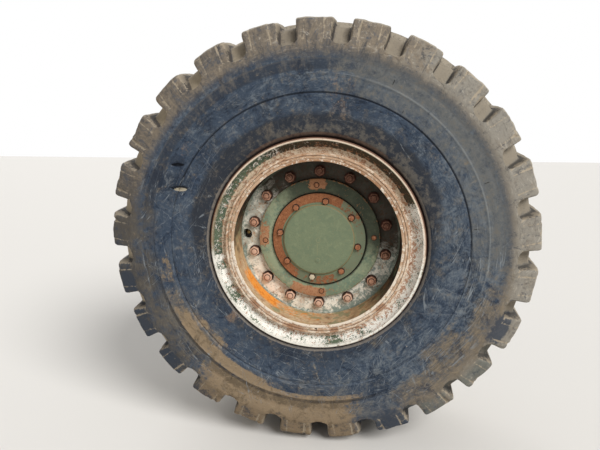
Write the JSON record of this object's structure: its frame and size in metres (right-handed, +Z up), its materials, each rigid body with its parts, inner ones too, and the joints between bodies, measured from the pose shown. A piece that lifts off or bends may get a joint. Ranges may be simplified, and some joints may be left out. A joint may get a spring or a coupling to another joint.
{
  "type": "loader wheel with axle end",
  "caption": "Lugged tyre on a multi-piece rim, bolted to a planetary hub that turns on a flanged spindle with a disc brake.",
  "frame": {"origin": "centre of the spindle's flange face, where it bolts to the axle housing", "axes": "-Y outboard along the axis of rotation, +X forward, +Z up"},
  "size_m": [1.584, 0.587, 1.584],
  "materials": {
    "tyre_rubber": "weathered black rubber, dusty and muddy, with scratches",
    "rim_paint": "dark green paint under chipped white overpaint, rust where worn",
    "disc_paint": "grey-green paint under pale dust",
    "hub_paint": "teal-green paint with rust patches",
    "cover_paint": "sage green paint, rusty round its bolts",
    "rusty_steel": "rusted fasteners under dust",
    "bare_steel": "machined steel, thinly rusted and oiled",
    "brake_iron": "cast iron with a worn friction track",
    "valve_brass": "dull brass"
  },
  "bodies": {
    "axle_end": {"spindle": "bare_steel", "brake_caliper": "brake_iron", "caliper_bolts": "rusty_steel"},
    "wheel": {"tyre": "tyre_rubber", "outer_flange": "rim_paint", "inner_flange": "rim_paint", "rim_base": "rim_paint", "bead_seat_band": "rim_paint", "lock_ring": "rim_paint", "wheel_disc": "disc_paint", "wheel_nuts": "rusty_steel", "hub": "hub_paint", "planet_carrier": "hub_paint", "hub_cover": "cover_paint", "cover_bolts": "rusty_steel", "carrier_screws": "rusty_steel", "brake_disc": "brake_iron", "brake_disc_bolts": "rusty_steel", "valve_stem": "valve_brass"}
  },
  "joints": [
    {"name": "wheel_spin", "type": "hinge", "parent": "axle_end", "child": "wheel", "pos_m": [0, -0.18, 0], "axis": [0, 1, 0], "continuous": true}
  ]
}
